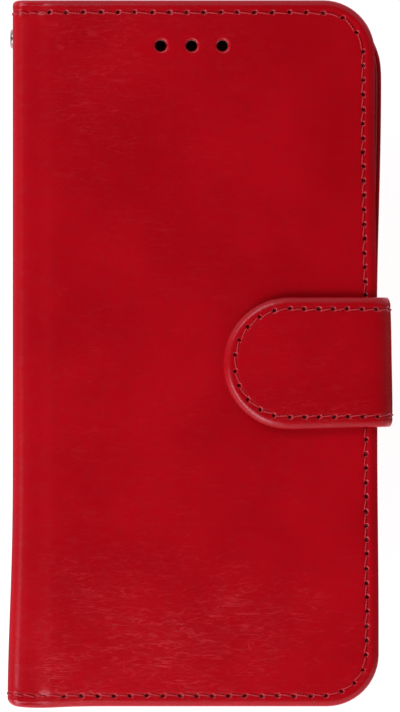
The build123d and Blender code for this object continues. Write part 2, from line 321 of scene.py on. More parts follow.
def finish_mesh(name, mesh, angle=SMOOTH_ANGLE):
    """An object with smooth shading that stays crisp at real corners."""
    mesh.shade_smooth()
    mesh.set_sharp_from_angle(angle=math.radians(angle))
    piece = bpy.data.objects.new(name, mesh)
    bpy.context.scene.collection.objects.link(piece)
    return piece


# Where the flat patterns go

def settle(points, y, side):
    """The slack of soft leather: the spine's foot flares out, and the panels hang a little askew."""
    x = points[:, 0] - SPINE_X
    past_spine = np.clip(x, 0, None)
    share = np.clip(x / BACK_WIDTH, 0, 1)
    flare, flare_reach = 1.15, 13
    sag, sag_x, sag_wide = 0.35, 6.5, 6
    tuck, tuck_reach = 0.9, 1.1
    corner_drop = 0.35
    points[:, 0] -= flare * smooth(y, -22, -78) ** 1.6 * np.exp(-past_spine / flare_reach)
    points[:, 1] -= sag * smooth(y, -62, -78) * np.exp(-(((x - sag_x) / sag_wide) ** 2))
    points[:, 1] += tuck * smooth(y, -74.5, -78.2) * np.exp(-past_spine / tuck_reach)
    if side > 0:
        lean = -0.55 + 0.62 * smooth(y, 52, -2) + 0.28 * smooth(y, -20, -60)
    else:
        lean = -0.1 + 0.95 * smooth(y, 5, 60) - 0.8 * smooth(y, 62, 72)
        points[:, 1] -= corner_drop * smooth(share, 0.7, 1) * smooth(y, 58, 78)
    points[:, 0] += share * lean
    return points


def cover_place(side):
    """Wraps a half of the cover: side 1 goes up over the front panel, -1 down under the back."""
    rise = DEPTH / 2 - BEND_R
    level = rise + math.pi / 2 * BEND_R

    def place(s, y, h):
        turn = np.clip((s - rise) / BEND_R, 0, math.pi / 2)
        out_x, out_z = -np.cos(turn), np.sin(turn)
        spine = 1 - smooth(s, rise, level + 2)
        edge = HALF_Y - np.abs(y)
        edge = edge * (1 - 0.6 * spine * (1 - smooth(edge, 0.3, 2.4)))
        y = np.sign(y) * (HALF_Y - edge)
        behind = np.clip((-SKIN_T - h) / (LEATHER_T - SKIN_T), 0, 1)
        h = h + SPINE_THINNER * spine * behind
        x = SPINE_X + BEND_R * (1 + out_x) + np.maximum(s - level, 0) + h * out_x
        z = DEPTH / 2 + np.minimum(s, rise) + BEND_R * out_z + h * out_z
        if side < 0:
            z = DEPTH - z
        return settle(np.stack([x, y, z], 1), y, side) * MM

    place.level, place.side = level, side
    return place


def strap_place(side):
    """Wraps a half of the strap: side 1 goes up and over the front, -1 down and into the back."""
    end_z = STRAP_TOP if side > 0 else STRAP_ROOT_Z
    rise = abs(end_z - STRAP_MID_Z) - STRAP_BEND_R
    level = rise + math.pi / 2 * STRAP_BEND_R
    full = TONGUE_T if side > 0 else STRAP_ROOT_T
    slope, slope_long = 1.15, 13
    pull, skew, droop = 0.27, 0.25, 0.5

    def place(s, y, h):
        turn = np.clip((s - rise) / STRAP_BEND_R, 0, math.pi / 2)
        out_x, out_z = np.cos(turn), np.sin(turn)
        upright = 1 - smooth(s, rise, level + 3)
        h = h * (1 + upright * (SIDE_T / full - 1))
        x = STRAP_OUT - STRAP_BEND_R * (1 - out_x) - np.maximum(s - level, 0) + h * out_x
        z = STRAP_MID_Z + side * (np.minimum(s, rise) + STRAP_BEND_R * out_z + h * out_z)
        if side > 0:
            run = np.clip((x - STRAP_OUT + slope_long) / slope_long, 0, 1)
            z = z - slope * run ** 3 * smooth(z, STRAP_MID_Z, STRAP_TOP - 4)
        near = smooth(x, STRAP_TIP + 12, STRAP_OUT)
        x = x - near * (pull + skew * y / STRAP_HALF)
        y = y + near * droop * np.clip(-y / STRAP_HALF, 0, 1) ** 2
        return np.stack([x, y + STRAP_Y, z], 1) * MM

    place.level, place.side = level, side
    return place


front_place = cover_place(1)
back_place = cover_place(-1)
tongue_place = strap_place(1)
root_place = strap_place(-1)
front_outline = Outline(front_place.level + FRONT_WIDTH - BEND_R, HALF_Y, CORNER_R)
back_outline = Outline(back_place.level + BACK_WIDTH - BEND_R, HALF_Y, BACK_CORNER_R)
tongue_outline = Outline(
    tongue_place.level + STRAP_OUT - STRAP_BEND_R - STRAP_TIP, STRAP_HALF, STRAP_HALF - 0.01
)
ROOT_END = SPINE_X + BACK_WIDTH - STRAP_ROOT_LONG
root_outline = Outline(
    root_place.level + STRAP_OUT - STRAP_BEND_R - ROOT_END, STRAP_HALF, 5.0
)


# Stitching

def hole_row(start, end, pitch, inset, strength=1.0):
    """Needle holes from start to end along an edge, with a little unevenness."""
    count = max(1, round((end - start) / pitch))
    return [
        (start + (end - start) * i / count + random.uniform(-0.14, 0.14),
         inset + random.uniform(-0.09, 0.09), strength * random.uniform(0.85, 1.0))
        for i in range(count)
    ]


def cover_holes(outline, level):
    """The holes along a cover half: faint in the soft leather, then deep and further apart."""
    soft = level + FLAP - 1.9
    corner, end = outline.straight, outline.total
    right = corner + outline.quarter
    foot = right + outline.side
    stops = (1.3, soft, corner, right, foot, foot + outline.quarter, end - soft, end - 0.8)
    rows = (
        (2.4, 0.1, 0.12), (3.8, 0.15, 1.0), (5.2, 0.25, 1.0), (3.14, 0.0, 1.0), (5.0, 0.2, 1.0),
        (3.54, -0.2, 1.0), (2.4, -0.1, 0.12),
    )
    holes = []
    for start, stop, (pitch, further_in, strength) in zip(stops, stops[1:], rows):
        holes += hole_row(start, stop, pitch, SEAM_INSET + further_in, strength)
    return holes


def strand_points(a, b, outline, height, sign, steps):
    """One stitch's line from hole to hole: out of one, over the leather and into the next."""
    in_hole = slant = 0.4
    arch, dip, deep_dip = 0.1, 0.12, 0.42
    u = np.linspace(0, 1, steps)
    t = a[0] + in_hole + (b[0] - a[0] - 2 * in_hole) * u
    inset = a[1] + (b[1] - a[1]) * u + slant * u
    strength = a[2] + (b[2] - a[2]) * u
    lift = arch - (dip + deep_dip * strength) * np.abs(2 * u - 1) ** 6
    s, y = outline.point(t, inset)
    return s, y, height + sign * lift


def thread(name, outline, place, holes, height, sign=1, steps=15, radius=0.10, twist=2.6):
    """Two-ply thread, one strand per stitch, laid along the holes."""
    verts, faces = [], []
    sides = 5
    for a, b in zip(holes[:-1], holes[1:]):
        s, y, h = strand_points(a, b, outline, height, sign, steps)
        centre = place(s, y, h)
        out = place(s, y, h + sign * 0.05) - centre
        out /= np.linalg.norm(out, axis=1)[:, None]
        along = np.gradient(centre, axis=0)
        along /= np.linalg.norm(along, axis=1)[:, None]
        across = np.cross(along, out)
        across /= np.linalg.norm(across, axis=1)[:, None]
        out = np.cross(across, along)
        phase = random.uniform(0, math.tau)
        spin = phase + np.linspace(0, twist * math.tau, steps)
        for ply in (0, math.pi):
            ply_out = np.cos(spin + ply)[:, None] * out + np.sin(spin + ply)[:, None] * across
            middle = centre + ply_out * radius * 0.85 * MM
            first = len(verts)
            for k in range(sides):
                angle = math.tau * k / sides
                ring = middle + (math.cos(angle) * out + math.sin(angle) * across) * radius * MM
                verts.extend(ring.tolist())
            for k in range(sides):
                low, high = first + k * steps, first + (k + 1) % sides * steps
                faces += [(low + i, low + i + 1, high + i + 1, high + i) for i in range(steps - 1)]
            faces.append(tuple(first + k * steps for k in range(sides)))
            faces.append(tuple(first + k * steps + steps - 1 for k in reversed(range(sides))))
    return finish_mesh(name, new_mesh(name, verts, faces), 80)


def mirrored_ends(outline, holes):
    """The same holes with one more beyond each open end, so that the thread crosses mid-spine."""
    first = (-holes[0][0], holes[0][1], holes[0][2])
    last = (2 * outline.total - holes[-1][0], holes[-1][1], holes[-1][2])
    return [first, *holes, last]


# Solid cutters and turned parts

def closed_piece(name, verts, faces, angle=SMOOTH_ANGLE):
    mesh = new_mesh(name, verts, faces)
    mend(mesh)
    return finish_mesh(name, mesh, angle)


def cutter(rings):
    """A closed solid through rings of points, capped at both ends, in millimetres."""
    count = len(rings[0])
    verts = [tuple(c * MM for c in p) for ring in rings for p in ring]
    faces = []
    for r in range(len(rings) - 1):
        low, high = r * count, (r + 1) * count
        faces += [
            (low + i, low + (i + 1) % count, high + (i + 1) % count, high + i) for i in range(count)
        ]
    last = (len(rings) - 1) * count
    faces.append(tuple(range(count))[::-1])
    faces.append(tuple(range(last, last + count)))
    return closed_piece("cutter", verts, faces)


def circle(x, y, z, radius, count=48):
    steps = [math.tau * i / count for i in range(count)]
    return [(x + radius * math.cos(a), y + radius * math.sin(a), z) for a in steps]


def rounded_box_ring(x, y, z, wide, tall, radius, each=12):
    """Points round a rectangle with round corners."""
    points = []
    for index, (sx, sy) in enumerate(((1, 1), (-1, 1), (-1, -1), (1, -1))):
        for k in range(each + 1):
            a = math.pi / 2 * (index + k / each)
            cx, cy = x + sx * (wide / 2 - radius), y + sy * (tall / 2 - radius)
            points.append((cx + radius * math.cos(a), cy + radius * math.sin(a), z))
    return points


def turned_ring(name, profile, count=56):
    """A ring turned about the eyelet's line from a closed profile of (outwards, radius), where
    outwards is how far it stands out of the spine's face."""
    verts, faces = [], []
    size = len(profile)
    for i in range(count):
        a = math.tau * i / count
        for out, r in profile:
            y, z = EYELET_Y + r * math.cos(a), DEPTH / 2 + r * math.sin(a)
            verts.append(((SPINE_X - out) * MM, y * MM, z * MM))
    for i in range(count):
        near, far = i * size, (i + 1) % count * size
        faces += [
            (near + k, near + (k + 1) % size, far + (k + 1) % size, far + k) for k in range(size)
        ]
    return closed_piece(name, verts, faces, 40)


def cut(piece, *cutters):
    """Cuts closed cutters out of a piece for good, and removes them."""
    for solid in cutters:
        step = piece.modifiers.new("cut", "BOOLEAN")
        step.operation = "DIFFERENCE"
        step.solver = "EXACT"
        step.object = solid
        with bpy.context.temp_override(object=piece, active_object=piece):
            bpy.ops.object.modifier_apply(modifier=step.name)
    for solid in cutters:
        bpy.data.objects.remove(solid)
    piece.data.set_sharp_from_angle(angle=math.radians(SMOOTH_ANGLE))
    return piece


HOLE_R = 1.25
HOLES_X = SPINE_X + 39.6
HOLES_Y = HALF_Y - 10.1
HOLE_PITCH = 6.8
EYELET_HOLE_R = 1.64
# An opening's rounded edge: how much wider it is, at each depth below the surface
SOFT_EDGE = [
    (0.7, -0.6), (0.66, -0.04), (0.5, 0.0), (0.33, 0.03), (0.19, 0.11), (0.08, 0.24), (0.02, 0.38),
    (0.0, 0.52),
]


def speaker_cutters():
    """Three holes through the front, with soft, rounded lips at their outer ends."""
    levels = [(HOLE_R + out, DEPTH - down) for out, down in SOFT_EDGE]
    levels.append((HOLE_R, DEPTH - 5))
    return [
        cutter([circle(HOLES_X + i * HOLE_PITCH, HOLES_Y, z, r) for r, z in levels])
        for i in (-1, 0, 1)
    ]


CAMERA_W, CAMERA_H, CAMERA_R = 25.0, 36.0, 7.5
CAMERA_MARGIN = 7.0
CAMERA_X = SPINE_X + BACK_WIDTH - CAMERA_MARGIN - CAMERA_W / 2
CAMERA_Y = HALF_Y - CAMERA_MARGIN - CAMERA_H / 2


def camera_cutter(soft):
    """The camera window; soft rounds its outer edge over."""
    levels = list(SOFT_EDGE) if soft else [(0.0, -1.0)]
    levels.append((0.0, 4.0))
    rings = [
        rounded_box_ring(CAMERA_X, CAMERA_Y, z, CAMERA_W + 2 * out, CAMERA_H + 2 * out, CAMERA_R + out)
        for out, z in levels
    ]
    return cutter(rings)


def eyelet_cutter():
    ring = circle(EYELET_Y, DEPTH / 2, 0, EYELET_HOLE_R)
    return cutter([[(x, y, z) for y, z, _ in ring] for x in (SPINE_X - 2, SPINE_X + 6)])


# The covers

def edge_rings(face, band_end, profile):
    """Rings (inset, h, fine) out from a sheet's patch: one at the face's height, a fine band for
    the stitching, and then the edge's own profile."""
    band_start = 3.7
    wide = band_start - band_end
    count = round(wide / 0.2)
    band = [(band_start - wide * i / count, face, True) for i in range(count + 1)]
    return [(4.0, face, False), *band, *[(inset, h, False) for inset, h in profile]]


COVER_RINGS = edge_rings(0.0, 1.5, [
    (1.35, -0.02), (1.15, -0.07), (0.95, -0.14), (0.75, -0.23), (0.55, -0.34), (0.36, -0.48),
    (0.18, -0.65), (0.05, -0.84), (0.0, -1.04), (0.03, -1.25), (0.13, -1.46), (0.3, -1.61),
    (0.55, -1.7), (1.25, -1.7), (1.25, -0.85), (1.8, -0.8),
])
LINING_RINGS = edge_rings(LINING_FACE, 1.7, [
    (1.4, -2.2), (1.2, -2.17), (1.04, -2.1), (0.94, -2.0), (0.9, -1.9), (0.92, -1.78), (1.0, -1.72),
])
STRAP_RINGS = edge_rings(0.0, 1.9, [
    (1.7, -0.01), (1.45, -0.04), (1.2, -0.11), (0.95, -0.21), (0.7, -0.34), (0.47, -0.5),
    (0.26, -0.69), (0.1, -0.92), (0.02, -1.18), (0.03, -1.4), (0.13, -1.6), (0.3, -1.74),
    (0.55, -1.8), (3.4, -1.8), (3.4, -0.85),
])
STRAP_LINING_RINGS = edge_rings(-STRAP_RINGS_T, 1.7, [
    (1.2, -2.39), (0.9, -2.33), (0.65, -2.2), (0.5, -2.02), (0.48, -1.9), (0.6, -1.82),
])


def scaled(rings, factor):
    return [(inset, h * factor, fine) for inset, h, fine in rings]


def wavy(s, y, size, seed):
    """A gentle unevenness from -1 to 1, with waves about this long."""
    k = math.tau / size
    return (
        np.sin(k * s + 1.7 * seed) * np.cos(0.8 * k * y + seed)
        + np.sin(0.55 * k * (s - y) + 2.3 * seed) + np.sin(1.3 * k * (y + 0.4 * s) - seed)
    ) / 3


def cover_relief(outline, level):
    """The leather's shape over the board's long edge, the turned edges and the corners' tucks."""
    step = level + FLAP - BEND_R - 0.6
    groove, groove_wide = 0.16, 1.1
    lumps = ((level + 4.0, 74.5, 0.22), (level + 6.3, -73.8, 0.26))
    lump_wide = 1.2
    turned_high, turned_wide, turned_slope = 0.05, 12.5, 2.0

    def relief(s, y):
        over_board = smooth(s, step - 1.6, step + 1.0)
        sunk = -groove * np.exp(-(((s - step + 0.5) / groove_wide) ** 2))
        lump = 0.0
        for spot_s, spot_y, high in lumps:
            r2 = ((s - spot_s) ** 2 + (y - spot_y) ** 2) / lump_wide ** 2
            lump = lump + high * np.exp(-r2)
        turned = 0.0
        for out, end in ((np.abs(y), outline.half), (s, outline.length)):
            start = end - turned_wide
            turned = np.maximum(turned, turned_high * smooth(out, start, start + turned_slope))
        calm = smooth(s, 1, level + 3)
        droop = -0.22 * (1 - smooth(s, level - 1, step + 2))
        bulge = 0.2 * (1 - smooth(s, 0, level + 3))
        waves = 0.035 * wavy(s, y, 31, 1) + 0.02 * wavy(s, y, 13, 2)
        return bulge + calm * (droop + sunk + lump + turned * over_board + waves)

    return relief


def strap_relief(s, y):
    """The strap's padding, with a gentle unevenness."""
    near_edge = smooth(np.abs(y), STRAP_HALF - 1.0, STRAP_HALF - 6)
    return near_edge * (0.09 + 0.03 * wavy(s, y, 17, 3))


def fainter(holes, factor):
    return [(t, inset, factor * strength) for t, inset, strength in holes]


def cover(name, outline, place):
    """One half of the cover: leather, lining and the thread on both faces."""
    holes = cover_holes(outline, place.level)
    inner_holes = fainter(holes, 0.55)
    loop, inner_loop = mirrored_ends(outline, holes), mirrored_ends(outline, inner_holes)
    flush = 0.0 if place.side > 0 else -SEAM_DIP
    return {
        "leather": sheet(
            name + "_leather", outline, place, 0.0, COVER_RINGS, -SKIN_T, PANEL_STEP, holes,
            SEAM_INSET, cover_relief(outline, place.level),
        ),
        "lining": sheet(
            name + "_lining_sheet", outline, place, LINING_FACE, LINING_RINGS, LINING_BACK,
            PANEL_STEP, inner_holes, sign=-1,
        ),
        "outer": thread(name + "_outer_thread", outline, place, loop, flush),
        "inner": thread(name + "_inner_thread", outline, place, inner_loop, LINING_FACE, -1),
    }


def bend_with(pieces):
    for piece in pieces:
        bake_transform(piece)


def build_covers():
    front = cover("front", front_outline, front_place)
    back = cover("back", back_outline, back_place)
    cut(front["leather"], *speaker_cutters(), eyelet_cutter())
    cut(front["lining"], *speaker_cutters(), eyelet_cutter())
    cut(back["leather"], camera_cutter(True), strap_slot_cutter(), eyelet_cutter())
    cut(back["lining"], camera_cutter(False), eyelet_cutter())
    bend_with(back.values())
    bend_with(front.values())
    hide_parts("front_cover_skin", "spine_skin")
    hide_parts("front_lining", "spine_lining")
    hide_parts("front_stitching", "spine_stitching")
    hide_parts("back_cover_skin", "spine_skin")
    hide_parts("back_lining", "spine_lining")
    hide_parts("back_stitching")
    paint_halves(front, back)


def strap_slot_cutter():
    """The slot in the back panel's free edge that holds the strap's sewn end."""
    right, half = SPINE_X + BACK_WIDTH, STRAP_HALF + 0.05
    x0, x1, y0, y1 = right - 9.5, right + 2, STRAP_Y - half, STRAP_Y + half
    levels = (STRAP_ROOT_Z - 0.03, STRAP_ROOT_Z + STRAP_ROOT_T + 0.2)
    return cutter([[(x0, y0, z), (x1, y0, z), (x1, y1, z), (x0, y1, z)] for z in levels])


# The strap

def strap_holes(outline, level, tongue):
    """Holes round the strap; the root's stop before the panel's edge."""
    if tongue:
        turn, finish = outline.straight, outline.total - outline.straight
        holes = hole_row(1.0, turn, STRAP_PITCH, SEAM_INSET)
        holes += hole_row(turn, finish, 4.3, SEAM_INSET - 0.15)
        return holes + hole_row(finish, outline.total - 1.0, STRAP_PITCH, SEAM_INSET)
    reach = level + 1.2
    holes = hole_row(1.8, reach, STRAP_PITCH, SEAM_INSET)
    return holes + hole_row(outline.total - reach, outline.total - 1.0, STRAP_PITCH, SEAM_INSET)


def strap_half(name, outline, place, tongue):
    """One half of the strap. The root's holes are placed, but only the tongue's are pressed in
    and have thread."""
    full = TONGUE_T if tongue else STRAP_ROOT_T
    factor = full / STRAP_RINGS_T
    holes = strap_holes(outline, place.level, tongue)
    inner_holes = fainter(holes, 0.6)
    pieces = {
        "leather": sheet(
            name + "_leather", outline, place, 0.0, scaled(STRAP_RINGS, factor),
            -SKIN_T * factor, STRAP_STEP, holes if tongue else (),
            SEAM_INSET if tongue else None, strap_relief if tongue else None,
        ),
        "lining": sheet(
            name + "_lining_sheet", outline, place, -STRAP_RINGS_T * factor,
            scaled(STRAP_LINING_RINGS, factor), STRAP_LINING_BACK * factor, STRAP_STEP,
            inner_holes if tongue else (), sign=-1,
        ),
    }
    if tongue:
        loop, inner_loop = mirrored_ends(outline, holes), mirrored_ends(outline, inner_holes)
        pieces["outer"] = thread(name + "_outer_thread", outline, place, loop, 0.0)
        pieces["inner"] = thread(name + "_inner_thread", outline, place, inner_loop, -full, -1)
    return pieces


def build_strap():
    tongue = strap_half("strap_tongue", tongue_outline, tongue_place, True)
    root = strap_half("strap_root", root_outline, root_place, False)
    bend_with(root.values())
    bend_with(tongue.values())
    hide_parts("strap_tongue_skin", "strap_side_skin")
    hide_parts("strap_tongue_lining", "strap_side_lining")
    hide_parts("strap_tongue_stitching", "strap_side_stitching")
    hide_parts("strap_root", "strap_side_skin")
    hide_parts("strap_side_lining")
    paint_halves(tongue, root)


# Metal

def build_metal():
    """The eyelet, with its rim outside and its rolled end inside, and the washer under that end."""
    eyelet = turned_ring("spine_eyelet", [
        (-2.1, 1.2), (0.35, 1.2), (0.54, 1.25), (0.67, 1.37), (0.74, 1.54), (0.75, 1.7),
        (0.7, 1.88), (0.58, 2.03), (0.4, 2.13), (0.2, 2.19), (0.02, 2.2), (-0.03, 2.16),
        (-0.03, 1.6), (-2.12, 1.6), (-2.12, 1.95), (-2.2, 2.0), (-2.27, 1.93), (-2.3, 1.75),
        (-2.3, 1.5), (-2.26, 1.32), (-2.18, 1.22),
    ])
    washer = turned_ring("spine_washer", [
        (-1.82, 1.66), (-1.82, 2.5), (-1.87, 2.58), (-1.95, 2.6), (-2.04, 2.56), (-2.09, 2.46),
        (-2.1, 1.9), (-2.1, 1.66),
    ])
    for piece, node in ((eyelet, "eyelet"), (washer, "eyelet_washer")):
        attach(piece, "spine")
        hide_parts(node)
        paint(piece, "nickel")


def build_stiffener():
    """The thin board inside the spine. It follows the leather's flare at the foot, and stops
    short of the two folds."""
    low, high = box_mm("spine_stiffener")
    foot, head = FOLD_ROOM, DEPTH - FOLD_ROOM
    corners = ((low.x, foot), (high.x, foot), (high.x, head), (low.x, head))
    steps = np.linspace(low.y, high.y, 60)
    points = np.array([(x, y, z) for y in steps for x, z in corners])
    points = settle(points, points[:, 1].copy(), 1) * MM
    faces = [(0, 1, 2, 3), tuple(len(points) - k for k in (1, 2, 3, 4))]
    for row in range(len(steps) - 1):
        for k in range(4):
            a, b = row * 4 + k, row * 4 + (k + 1) % 4
            faces.append((a, a + 4, b + 4, b))
    board = finish_mesh("spine_board", new_mesh("spine_board", points.tolist(), faces))
    cut(board, eyelet_cutter())
    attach(board, "spine")
    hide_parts("spine_stiffener")
    paint(board, "board")


# Pockets

POCKETS_X = SPINE_X + 40.5         # middle of the card pockets
MOUTHS = (44.0, 31.0, 18.0)        # heights of their open edges
NOTCH_R, NOTCH_DEEP = 12.0, 3.0    # the thumb notch in each
POCKET_CORNER_R = 4.0
POCKET_SEAM = 1.6                  # from a card pocket's edge to its stitching
POCKET_SEAM_R = 3.0


def arc_points(cx, cy, radius, first, last, count):
    steps = [first + (last - first) * i / count for i in range(count + 1)]
    return [(cx + radius * math.cos(a), cy + radius * math.sin(a)) for a in steps]


def pocket_sheet(name, points, low, high, round_r=0.12):
    """A flat pocket sheet with rolled edges, between two heights."""
    curve = bpy.data.curves.new(name, "CURVE")
    curve.dimensions = "2D"
    curve.fill_mode = "BOTH"
    line = curve.splines.new("POLY")
    line.points.add(len(points) - 1)
    for spot, (x, y) in zip(line.points, points):
        spot.co = (x * MM, y * MM, 0, 1)
    line.use_cyclic_u = True
    curve.extrude = ((high - low) / 2 - round_r) * MM
    curve.bevel_depth = round_r * MM
    curve.bevel_resolution = 3
    curve.offset = -round_r * MM
    holder = bpy.data.objects.new(name, curve)
    bpy.context.scene.collection.objects.link(holder)
    bpy.context.view_layer.update()
    graph = bpy.context.evaluated_depsgraph_get()
    mesh = bpy.data.meshes.new_from_object(holder.evaluated_get(graph))
    bpy.data.objects.remove(holder)
    mesh.transform(Matrix.Translation((0, 0, (low + high) / 2 * MM)))
    mend(mesh, merge_doubles)
    add_place_map(mesh)
    return finish_mesh(name, mesh, 40)


def add_place_map(mesh):
    """The flat map of a level sheet is just where it lies."""
    co = np.empty(len(mesh.vertices) * 3, np.float32)
    mesh.vertices.foreach_get("co", co)
    co = co.reshape(-1, 3)
    add_flat_map(mesh, co[:, 0] / MM, co[:, 1] / MM, 0 * co[:, 0])


class Path:
    """An open line of stitching on a level sheet, with the same point() as an Outline."""

    def __init__(self, points):
        self.points = np.array(points, float)
        gaps = np.linalg.norm(np.diff(self.points, axis=0), axis=1)
        self.along = np.concatenate([[0], np.cumsum(gaps)])
        self.total = self.along[-1]

    def point(self, t, inset):
        x = np.interp(t, self.along, self.points[:, 0])
        y = np.interp(t, self.along, self.points[:, 1])
        return x, y


def level_place(s, y, h):
    return np.stack([s, y, h], 1) * MM


def add_pocket(piece, node, slot):
    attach(piece, "front")
    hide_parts(node)
    paint(piece, slot)


def build_cash_pocket():
    """The full-height pocket, open towards the spine."""
    low, high = box_mm("cash_pocket")
    radius, bevel = CORNER_R - 5, 0.4
    points = [(low.x, low.y + bevel), (low.x + bevel, low.y)]
    points += arc_points(high.x - radius, low.y + radius, radius, -math.pi / 2, 0, 10)
    points += arc_points(high.x - radius, high.y - radius, radius, 0, math.pi / 2, 10)
    points += [(low.x + bevel, high.y), (low.x, high.y - bevel)]
    piece = pocket_sheet("cash_pocket_sheet", points, low.z, high.z)
    cut(piece, *speaker_cutters())
    add_pocket(piece, "cash_pocket", "pocket_leather")


def build_card_pocket(number, mouth):
    """A card pocket with a thumb notch in its open edge. Only the last has a rounded foot."""
    node = f"card_pocket_{number}"
    low, high = box_mm(node)
    half, radius = (high.x - low.x) / 2, POCKET_CORNER_R
    left, right = POCKETS_X - half, POCKETS_X + half
    foot = [(left, low.y), (right, low.y)]
    if number == len(MOUTHS):
        foot = arc_points(left + radius, low.y + radius, radius, math.pi, 1.5 * math.pi, 8)
        foot += arc_points(right - radius, low.y + radius, radius, -math.pi / 2, 0, 8)
    rise = NOTCH_R - NOTCH_DEEP
    swing = math.acos(rise / NOTCH_R)
    first, last = -math.pi / 2 + swing, -math.pi / 2 - swing
    notch = arc_points(POCKETS_X, mouth + rise, NOTCH_R, first, last, 22)
    points = foot + [(right, mouth)] + notch + [(left, mouth)]
    piece = pocket_sheet(f"card_sheet_{number}", points, low.z, high.z)
    add_pocket(piece, node, "pocket_leather")


def build_pocket_seam():
    """The line of thread down one side of the last card pocket, along its foot and up again."""
    low, high = box_mm("card_pocket_3")
    half, radius = (high.x - low.x) / 2 - POCKET_SEAM, POCKET_SEAM_R
    foot, top = low.y + POCKET_SEAM, MOUTHS[-1] - 2
    line = [(POCKETS_X - half, top)]
    line += arc_points(
        POCKETS_X - half + radius, foot + radius, radius, math.pi, 1.5 * math.pi, 6
    )
    line += arc_points(POCKETS_X + half - radius, foot + radius, radius, -math.pi / 2, 0, 6)
    line.append((POCKETS_X + half, top))
    path = Path(line)
    holes = hole_row(0, path.total, 3.5, 0.0)
    seam = thread("pocket_thread", path, level_place, holes, low.z, -1)
    add_pocket(seam, "pocket_stitching", "thread")


def build_pockets():
    build_cash_pocket()
    for number, mouth in enumerate(MOUTHS, 1):
        build_card_pocket(number, mouth)
    build_pocket_seam()


# Materials

MATERIALS = {}


def paint(piece, name):
    """Gives a piece its finish and names the record's slot it comes from."""
    piece.data.materials.clear()
    piece.data.materials.append(MATERIALS[name])


def paint_halves(*halves):
    finishes = {"leather": "cover_leather", "lining": "lining", "outer": "thread", "inner": "thread"}
    for half in halves:
        for part, piece in half.items():
            paint(piece, finishes[part])


class Shader:
    """A small helper for building the nodes of a new material, or of the world."""

    def __init__(self, name, owner=None, surface="Principled BSDF"):
        self.owner = owner or bpy.data.materials.new(name)
        self.owner.use_nodes = True
        self.tree = self.owner.node_tree
        self.surface = self.tree.nodes[surface]

    def add(self, kind, **settings):
        node = self.tree.nodes.new(kind)
        for key, value in settings.items():
            setattr(node, key, value)
        return node

    def set(self, node, values):
        """Links each socket named to another node's output, or gives it a constant."""
        for name, value in values.items():
            socket = node.inputs[name]
            if isinstance(value, bpy.types.NodeSocket):
                self.tree.links.new(value, socket)
            else:
                socket.default_value = value
        return node.outputs

    def flat(self, stretch=(1, 1)):
        """The flat map in millimetres."""
        uv = self.add("ShaderNodeUVMap", uv_map="flat").outputs[0]
        scale = (stretch[0] / MM, stretch[1] / MM, 1 / MM)
        return self.set(self.add("ShaderNodeMapping"), {"Vector": uv, "Scale": scale})[0]

    def parts(self, vector):
        return list(self.set(self.add("ShaderNodeSeparateXYZ"), {"Vector": vector}))

    def noise(self, vector, scale, detail=3.0, rough=0.55, distortion=0.0):
        return self.set(self.add("ShaderNodeTexNoise"), {
            "Vector": vector, "Scale": scale, "Detail": detail, "Roughness": rough,
            "Distortion": distortion,
        })["Fac"]

    def math(self, kind, a, b=0.0):
        return self.set(self.add("ShaderNodeMath", operation=kind), {0: a, 1: b})[0]

    def rise(self, value, low, high, to_low=0.0, to_high=1.0):
        return self.set(self.add("ShaderNodeMapRange", interpolation_type="SMOOTHSTEP"), {
            "Value": value, "From Min": low, "From Max": high, "To Min": to_low, "To Max": to_high,
        })[0]

    def mix(self, fac, a, b):
        return self.set(self.add("ShaderNodeMix", data_type="RGBA"), {0: fac, 6: a, 7: b})[2]

    def bump(self, height, distance, strength=1.0, normal=None):
        values = {"Height": height, "Distance": distance, "Strength": strength}
        if normal is not None:
            values["Normal"] = normal
        return self.set(self.add("ShaderNodeBump"), values)[0]

    def finish(self, **values):
        self.set(self.surface, {key.replace("_", " "): value for key, value in values.items()})
        return self.owner


def ridges(shade, stretch, width):
    """Thin wandering lines, 1 on a line and 0 off it, drawn out across the case."""
    value = shade.noise(shade.flat(stretch), 1.0, 1.5, 0.5, 0.5)
    off = shade.math("ABSOLUTE", shade.math("SUBTRACT", value, 0.5))
    return shade.rise(off, width, 0.0)


def creases(shade, flat, s_away, y):
    """Where the leather is worn, and its fine creases, whose lines give a bump and a painted
    highlight: most near the foot, a few near the spine's head, and hardly any in the folds."""
    foot = shade.rise(y, -40.0, -60.0, 0.15, 1.0)
    head = shade.rise(y, 30.0, 58.0, 0.0, 0.4)
    head = shade.math("MULTIPLY", head, shade.rise(s_away, 65.0, 28.0))
    worn = shade.math("MAXIMUM", foot, head)
    inner = shade.rise(s_away, 88.0, 45.0, 0.25, 1.0)
    patch = shade.rise(shade.noise(flat, 0.06, 2.0), 0.36, 0.6, 0.4, 1.0)
    clear = shade.rise(s_away, 8.0, 18.0, 0.1, 1.0)
    for mask in (inner, patch, clear):
        worn = shade.math("MULTIPLY", worn, mask)
    broken = shade.rise(shade.noise(shade.flat((0.14, 0.5)), 1.0, 3.0), 0.4, 0.6)
    long = shade.math("MULTIPLY", ridges(shade, (0.17, 0.8), 0.04), broken)
    small = shade.math("MULTIPLY", ridges(shade, (0.24, 1.1), 0.035), 0.5)
    lines = shade.math("MULTIPLY", shade.math("ADD", long, small), worn)
    return worn, lines


